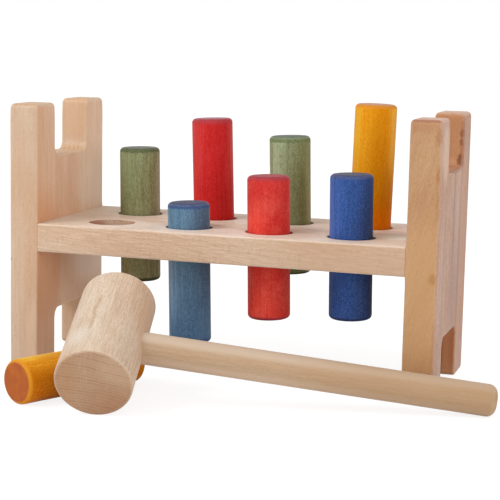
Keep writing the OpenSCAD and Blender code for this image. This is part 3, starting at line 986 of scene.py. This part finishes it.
# Patches on a peg: the direction they face, in degrees from the right towards the back, how high
# up the peg they lie, and how far they reach. They are partly the stain's own unevenness and partly
# painted light and shade: paler on the left, where the lamp falls, darker right of the middle as
# painted shade, and pale at the edges as a painted sheen
stains = {
    "olive_peg": dict(
        low="A09E76", high="949C74", band="7A7446", streak="565430", speck="AEB28C", rim="6A7050",
        end="62665A", endRing="464A32", worn="464C32", bandShare=0.6, streakShare=0.3, mottleShare=0.4,
        dashShare=0.45, paleShare=0.3, fleckShare=0.14, rimSpread=0.2, rimDepth=0.0024, foot="484C2E",
        sides=[
            dict(facing=-145, up=0.045, wide=0.013, tall=0.03, tint="5E5616", share=0.6),
            dict(facing=-100, up=0.062, wide=0.005, tall=0.03, tint="86986C", share=0.4, ragged=1.2),
            dict(facing=-22, up=0.05, wide=0.004, tall=0.03, tint="7A6A48", share=0.5, ragged=1.2),
            dict(facing=-75, up=0.046, wide=0.011, tall=0.014, tint="A29A72", share=0.5, ragged=0.8),
            dict(facing=-38, up=0.06, wide=0.008, tall=0.04, tint="8A8256", share=0.5),
            dict(facing=10, up=0.05, wide=0.009, tall=0.07, tint="B4AC98", share=0.7),
        ],
    ),
    "red_back_peg": dict(
        low="D8221E", high="D42E2E", band="B81C1A", streak="A81418", speck="E4504A", rim="BC444C",
        end="A2606A", endRing="8E4852", worn="9A343E", bandShare=0.35, mottleShare=0.2, dashShare=0.2,
        paleShare=0.12, rimSpread=0.65, rimDepth=0.0026, rimFade=0.002,
        sides=[
            dict(facing=-145, up=0.07, wide=0.017, tall=0.05, tint="E65C5A", share=0.5),
            dict(facing=-60, up=0.055, wide=0.013, tall=0.05, tint="C41C1C", share=0.4),
            dict(facing=5, up=0.066, wide=0.01, tall=0.06, tint="DC6C66", share=0.5),
        ],
    ),
    "sage_peg": dict(
        low="87875C", high="A8B48C", band="7C804C", streak="5C6036", speck="B6C09C", rim="909C80",
        end="4E584E", endRing="465240", worn="56643E", line="7E8A60", foot="4E5230", bandShare=0.6,
        streakShare=0.25, mottleShare=0.4, dashShare=0.35, paleShare=0.25, fleckShare=0.18, rimFrom=0.25,
        rimSpread=0.6, rimDepth=0.0036,
        sides=[
            dict(facing=-40, up=0.05, wide=0.018, tall=0.08, tint="74764A", share=0.9, ragged=0.8),
            dict(facing=-150, up=0.066, wide=0.014, tall=0.03, tint="BECAAC", share=0.7, ragged=0.8),
            dict(facing=-150, up=0.03, wide=0.016, tall=0.022, tint="6A6236", share=0.7),
            dict(facing=8, up=0.05, wide=0.011, tall=0.045, tint="BEC49C", share=0.75),
        ],
    ),
    "yellow_peg": dict(
        low="FFA006", high="E8920A", band="F48E08", streak="CE7600", speck="FFBE34", rim="E09232",
        end="C88E66", endRing="B07040", worn="CC7E34", bandShare=0.4, mottleShare=0.3, dashShare=0.25,
        fleckShare=0.24, rimSpread=0.6,
        sides=[
            dict(facing=-138, up=0.072, wide=0.016, tall=0.06, tint="FFC83C", share=0.75),
            dict(facing=-6, up=0.066, wide=0.012, tall=0.06, tint="FFCC58", share=0.8),
            dict(facing=-70, up=0.068, wide=0.009, tall=0.03, tint="D07E04", share=0.3),
            dict(facing=-70, up=0.014, wide=0.03, tall=0.018, tint="FF7A00", share=0.85),
        ],
    ),
    "light_blue_peg": dict(
        low="486A8E", high="688CA8", band="4E6880", streak="34506C", speck="80A0B8", rim="687090",
        end="263058", endRing="382C4C", worn="343C62", line="46608A", foot="3E5676", bandShare=0.4,
        mottleShare=0.35, dashShare=0.35, rimFrom=0.3, rimSpread=0.6, rimDepth=0.003,
        sides=[
            dict(facing=-22, up=0.06, wide=0.016, tall=0.08, tint="4C586E", share=0.95, ragged=0.5),
            dict(facing=-80, up=0.03, wide=0.011, tall=0.03, tint="4C6074", share=0.4, ragged=1.0),
            dict(facing=-160, up=0.038, wide=0.016, tall=0.05, tint="ACD0F6", share=0.9),
            dict(facing=-10, up=0.008, wide=0.012, tall=0.02, tint="6C90B0", share=0.5),
        ],
    ),
    "red_front_peg": dict(
        low="DA3A30", high="D43432", band="C22A26", streak="B42220", speck="F07460", rim="BA464E",
        end="9E3038", endRing="8A2A36", worn="94303C", foot="9C2A2C", bandShare=0.25, mottleShare=0.25,
        dashShare=0.2, cloudShare=0.2, fleckShare=0.2, rimSpread=0.9, rimDepth=0.0018, rimFade=0.0014,
        sides=[
            dict(facing=-75, up=0.069, wide=0.016, tall=0.008, tint="F06656", share=0.45, ragged=0.8),
            dict(facing=-130, up=0.056, wide=0.016, tall=0.018, tint="FA5644", share=0.75, ragged=0.5),
            dict(facing=-55, up=0.056, wide=0.014, tall=0.006, tint="C02A26", share=0.35, ragged=0.8),
            dict(facing=-30, up=0.06, wide=0.011, tall=0.02, tint="C42E2A", share=0.5, ragged=0.5),
            dict(facing=-155, up=0.026, wide=0.013, tall=0.024, tint="FA6C60", share=0.85, ragged=0.6),
            dict(facing=-85, up=0.012, wide=0.014, tall=0.02, tint="EC6452", share=0.4, ragged=0.8),
            dict(facing=-22, up=0.012, wide=0.012, tall=0.03, tint="BC342E", share=0.75),
        ],
    ),
    "dark_blue_peg": dict(
        low="344E8A", high="38599E", band="2C4478", streak="202F5A", speck="5678B2", rim="5C6692",
        end="3C3E58", endRing="383A56", worn="30385E", foot="2C3A6A", bandShare=0.35, mottleShare=0.3,
        dashShare=0.3, fleckShare=0.3, rimSpread=0.5,
        sides=[
            dict(facing=-12, up=0.045, wide=0.018, tall=0.06, tint="323652", share=0.9, ragged=0.5),
            dict(facing=-12, up=0.01, wide=0.015, tall=0.026, tint="36405A", share=0.7, ragged=0.5),
            dict(facing=-158, up=0.056, wide=0.015, tall=0.06, tint="6684DC", share=0.75, ragged=0.4),
        ],
    ),
}
slots = {s["node"]: s["material_slot"] for s in frame["record"]["subparts"]}


def makePeg(node, look, forwards, seed):
    # a rod with quarter circles at both ends, dented a little
    place, radius, length = rodAt(node, forwards)
    r, z = rodProfile(radius, length, peg["edge"], peg["edge"], peg["sideRows"])
    grid, faces = revolve(r, z, peg["segments"], dents(peg["dent"], seed, peg["dentAlong"]))
    mesh = meshOf(node, grid, faces)
    shade(mesh, False)
    draw = np.random.default_rng(seed)
    pith = np.array((draw.uniform(*peg["pithOut"]), draw.uniform(*peg["pithAside"]), 0))
    addGrain(mesh, upright, pith, (0, 0, 1))
    look = {**stainLook, "line": look["rim"], "foot": look["rim"], **look, "spots": [], "length": length}
    # each patch becomes a spot on the peg's surface: partly stain, partly painted light and shade
    for patch in look["sides"]:
        facing = math.radians(patch["facing"])
        centre = pith + (radius * math.cos(facing), radius * math.sin(facing), patch["up"])
        size = (patch["wide"], patch["wide"], patch["tall"])
        look["spots"].append(dict(centre=centre, size=size, tint=patch["tint"], share=patch["share"],
                                  ragged=patch.get("ragged", peg["ragged"])))
    made = stain(camel(node) + "Stain", look)
    addPiece(camel(node) + "Turned", mesh, place, made, bodyOf(node), slots[node], node)


for seed, (node, look) in enumerate(stains.items()):
    makePeg(node, look, (0, 0, 1), seed)
loosePegLook = dict(
    low="F6960E", high="F4980E", band="D67E06", streak="BC6C00", speck="FAC04A", rim="DA8822", end="B66236",
    endRing="964A24", worn="E8A43C", wornShare=0.3, bandShare=0.5, mottleShare=0.3, dashShare=0.3,
    paleShare=0.2, rimSpread=0.8, rimDepth=0.0014, rimFade=0.0012,
    # the first two patches run the whole lying peg: a paler top, painted light from above, and a darker lower
    # side, painted shade
    sides=[
        dict(facing=-105, up=0.035, wide=0.018, tall=0.14, tint="FCD644", share=0.95),
        dict(facing=30, up=0.03, wide=0.018, tall=0.14, tint="C65E00", share=0.85),
        dict(facing=-30, up=0.0, wide=0.017, tall=0.012, tint="C86800", share=0.6),
    ],
)
makePeg("loose_yellow_peg", loosePegLook, (0, 1, 0), seed=21)
print("pegs made")


# Mallet

mallet = dict(
    headEdge=0.0016,
    headRows=dict(sideRows=26, faceRows=10),
    headSegments=128,
    headPith=(0.008, -0.115, 0.0),
    headSeed=31,
    tenonEdge=0.001,
    buttEdge=0.005,
    handleRows=dict(sideRows=60, faceRows=6, edgeRows=9),
    handleSegments=72,
    handlePith=(0.04, 0.01, 0.0),
    handleSeed=37,
    handleAlong=3,
    dent=0.00006,
    glueFit=0.00005,
    glueGap=0.0004,
    boreEdge=0.0001,
)
headLook = dict(
    leftLook, reach=95, ringWidth=2.0, edge="E0CDB8", face="E0CDB8", tint="F8ECE2", ring="B99574",
    ray="9C7658", end="C29E80", endRing="966C4C", worn="E2D0BC", pale="EBDAC6", ringShare=0.4,
    bandShare=0.15, streakShare=0.4, dashShare=0.35, rayShare=0.2, ripple=2.4, still=False, endRings=0.62,
    endRays=0.14, spots=[],
)
handleLook = dict(
    headLook, ringWidth=2.3, edge="C2A587", face="C2A587", tint="F8F0E6", ring="A48060", pale="D2B99C",
    rayShare=0.15, ringShare=0.2, bandShare=0.08, streakShare=0.22, dashShare=0.25, end="B88E68",
    worn="D2B896",
)
headMark = dict(
    along=(0.025, 0.049),
    facing=-1.91,
    drift=(0.0, 0.025, -0.025, 0.02),
    spot=dict(size=(0.0016, 0.0016, 0.006), tint="B8926C", share=0.55, ragged=2.4, by="Mottle"),
)
# warmer and paler places, from the middle of the head's front face: right, down and back
headTones = [
    dict(centre=(0.014, 0.014, 0.0), size=(0.028, 0.026, 0.006), tint="A46A48", share=0.4, ragged=0.3,
         core=0.0),
    dict(centre=(-0.018, 0.0, 0.0), size=(0.012, 0.03, 0.004), tint="B8845C", share=0.3),
    dict(centre=(0.014, -0.012, 0.0), size=(0.016, 0.016, 0.0015), tint="D8BC9E", share=0.25),
    dict(centre=(0.02, -0.008, 0.05), size=(0.008, 0.016, 0.03), tint="D2A680", share=0.45),
    # a pale, cool patch on the upper left near the front: painted sheen where the lamp's light grazes the
    # head
    dict(centre=(-0.0135, -0.0175, 0.0165), size=(0.014, 0.012, 0.0158), tint="E4DED0", share=0.5, core=0.1),
]
handleTones = dict(
    # darker towards the butt: partly the end's own colour, partly painted shade where the light falls off
    # along the handle
    butt=dict(size=(0.05, 0.05, 0.14), tint="B08A64", share=0.45),
    knot=dict(size=(0.0009, 0.0009, 0.0016), tint="8A6444", share=0.7),
    knotAt=(-0.87, -0.5, 0.03),  # two shares of the radius, and how far up
    # pale bands along the handle's top and underside: painted light from above and painted bounce from the
    # floor
    sap=((1, 0.0055, "D8C4B0"), (-1, 0.0085, "E6CAB2")),  # side, width and colour
    sapShare=0.6,
    sapDepth=0.03,
    sapMiddle=0.3,  # shares of the length
    sapReach=1.2,
)


def headMarks(radius):
    # a brown streak in the wood: a row of ragged spots along the head, counted from its front face
    marks = []
    for up, drift in zip(np.linspace(*headMark["along"], len(headMark["drift"])), headMark["drift"]):
        angle = headMark["facing"] + drift
        centre = (radius * math.cos(angle), radius * math.sin(angle), up)
        marks.append(dict(headMark["spot"], centre=centre))
    return marks


def handleMarks(radius, length):
    # pale bands along the top and the underside, painted light from above and painted bounce from the floor,
    # a darker butt that is partly painted shade, and a small knot
    tones = handleTones
    marks = []
    for side, width, tint in tones["sap"]:
        size = (width, tones["sapDepth"], length * tones["sapReach"])
        centre = (side * radius, 0, length * tones["sapMiddle"])
        marks.append(dict(centre=centre, size=size, tint=tint, share=tones["sapShare"]))
    out, aside, up = tones["knotAt"]
    return [*marks, dict(tones["butt"], centre=(0, 0, length)),
            dict(tones["knot"], centre=(radius * out, radius * aside, up))]


def makeMallet():
    # two turned rods, and a blind bore in the head for the handle's glued end
    handlePlace, handleRadius, handleLength = rodAt("mallet_handle", (1, 0, 0), (0, 0, 1))
    handleAxis = [handlePlace[row][2] for row in range(3)]
    headPlace, headRadius, headLength = rodAt("mallet_head", (0, 1, 0), handleAxis)
    r, z = rodProfile(headRadius, headLength, mallet["headEdge"], mallet["headEdge"], **mallet["headRows"])
    grid, faces = revolve(r, z, mallet["headSegments"], dents(mallet["dent"], mallet["headSeed"]))
    mesh = meshOf("head", grid, faces)
    tool = boreMesh(handleRadius + mallet["glueFit"], handleLength, mallet["boreEdge"],
                    mallet["handleSegments"])
    tool.transform(headPlace.inverted() @ handlePlace @ Matrix.Translation((0, 0, -mallet["glueGap"])))
    mesh = cutAway(mesh, [tool])
    shade(mesh, False)
    pith = np.array(mallet["headPith"])
    addGrain(mesh, upright, pith, (0, 0, 1))
    wood = beech("headBeech", dict(headLook, spots=moved([*headTones, *headMarks(headRadius)], pith)))
    addPiece("malletHeadTurned", mesh, headPlace, wood, "mallet", "mallet_beech", "mallet_head")
    r, z = rodProfile(handleRadius, handleLength, mallet["tenonEdge"], mallet["buttEdge"],
                      **mallet["handleRows"])
    dented = dents(mallet["dent"], mallet["handleSeed"], mallet["handleAlong"])
    grid, faces = revolve(r, z, mallet["handleSegments"], dented)
    mesh = meshOf("handle", grid, faces)
    shade(mesh, False)
    pith = np.array(mallet["handlePith"])
    addGrain(mesh, upright, pith, (0, 0, 1))
    wood = beech("handleBeech", dict(handleLook, spots=moved(handleMarks(handleRadius, handleLength), pith)))
    addPiece("malletHandleTurned", mesh, handlePlace, wood, "mallet", "mallet_beech", "mallet_handle")


makeMallet()
print("mallet made")


# Floor, background, light and camera

stage = dict(size=8.0, drop=0.0002, glow=0.84, catch=0.3, bounce="E6E4E0", middle=(0, -0.05, 0.07))
sky = dict(strength=0.63, shown=1.0)
lamps = [
    dict(name="key", place=(-1.2, -1.1, 1.7), size=1.1, power=22.0),
    dict(name="fill", place=(1.5, -1.3, 0.6), size=1.3, power=10.5),
]
shot = dict(
    place=(0.27449, -0.88054, 0.21135),
    yaw=0.29585,
    pitch=-0.14902,
    roll=0.0215,
    lens=109.54,
    sensor=36.0,
)
white = (1, 1, 1, 1)


def seenShare(tree):
    # 1 for rays that show the surroundings: straight to the camera, in a gloss or through glass
    path = addNode(tree, "LightPath").outputs
    seen = sums(tree, "MAXIMUM", path["Is Camera Ray"], path["Is Glossy Ray"])
    return sums(tree, "MAXIMUM", seen, path["Is Transmission Ray"])


def showBoth(tree, hidden, shown, output):
    # shown to rays that show the surroundings, and hidden to those that light the object
    both = addNode(tree, "MixShader", {0: seenShare(tree), 1: hidden, 2: shown}).outputs[0]
    tree.links.new(both, addNode(tree, output).inputs[0])


def makeFloor():
    half, z = stage["size"] / 2, -stage["drop"]
    mesh = bpy.data.meshes.new("floor")
    square = [(-half, -half, z), (half, -half, z), (half, half, z), (-half, half, z)]
    mesh.from_pydata(square, [], [(0, 1, 2, 3)])
    floor = addObject("floor", mesh)
    made = bpy.data.materials.new("paleFloor")
    made.use_nodes = True
    tree = made.node_tree
    tree.nodes.clear()
    plain = addNode(tree, "BsdfDiffuse", {"Color": paint(stage["bounce"])}).outputs[0]
    glow = addNode(tree, "Emission", {"Color": white, "Strength": stage["glow"]}).outputs[0]
    catch = addNode(tree, "BsdfDiffuse", {"Color": (stage["catch"],) * 3 + (1,)}).outputs[0]
    showBoth(tree, plain, addNode(tree, "AddShader", {0: glow, 1: catch}).outputs[0], "OutputMaterial")
    mesh.materials.append(made)


def makeSky():
    world = bpy.data.worlds.new("studio")
    bpy.context.scene.world = world
    world.use_nodes = True
    tree = world.node_tree
    tree.nodes.clear()
    soft = addNode(tree, "Background", {"Color": white, "Strength": sky["strength"]}).outputs[0]
    plain = addNode(tree, "Background", {"Color": white, "Strength": sky["shown"]}).outputs[0]
    showBoth(tree, soft, plain, "OutputWorld")


def makeLamps():
    # each lamp looks at the middle of the stage, with its x level
    for lamp in lamps:
        light = bpy.data.lights.new(lamp["name"], "AREA")
        light.size = lamp["size"]
        light.energy = lamp["power"]
        back = np.array(lamp["place"]) - stage["middle"]
        z = back / np.linalg.norm(back)
        x = np.cross((0, 0, 1), z)
        x = x / np.linalg.norm(x)
        addObject(lamp["name"], light).matrix_world = placing(x, np.cross(z, x), z, lamp["place"])


def makeCamera():
    yaw, pitch, roll = shot["yaw"], shot["pitch"], shot["roll"]
    forward = np.array([-math.sin(yaw) * math.cos(pitch), math.cos(yaw) * math.cos(pitch), math.sin(pitch)])
    right = np.array([math.cos(yaw), math.sin(yaw), 0])
    up = np.cross(right, forward)
    x = math.cos(roll) * right + math.sin(roll) * up
    y = math.cos(roll) * up - math.sin(roll) * right
    camera = bpy.data.cameras.new("photo")
    camera.sensor_width = shot["sensor"]
    camera.lens = shot["lens"]
    thing = addObject("photo", camera)
    thing.matrix_world = placing(x, y, -forward, shot["place"])
    bpy.context.scene.camera = thing


makeFloor()
makeSky()
makeLamps()
makeCamera()
bpy.context.scene.view_settings.view_transform = "Standard"
print("stage set")
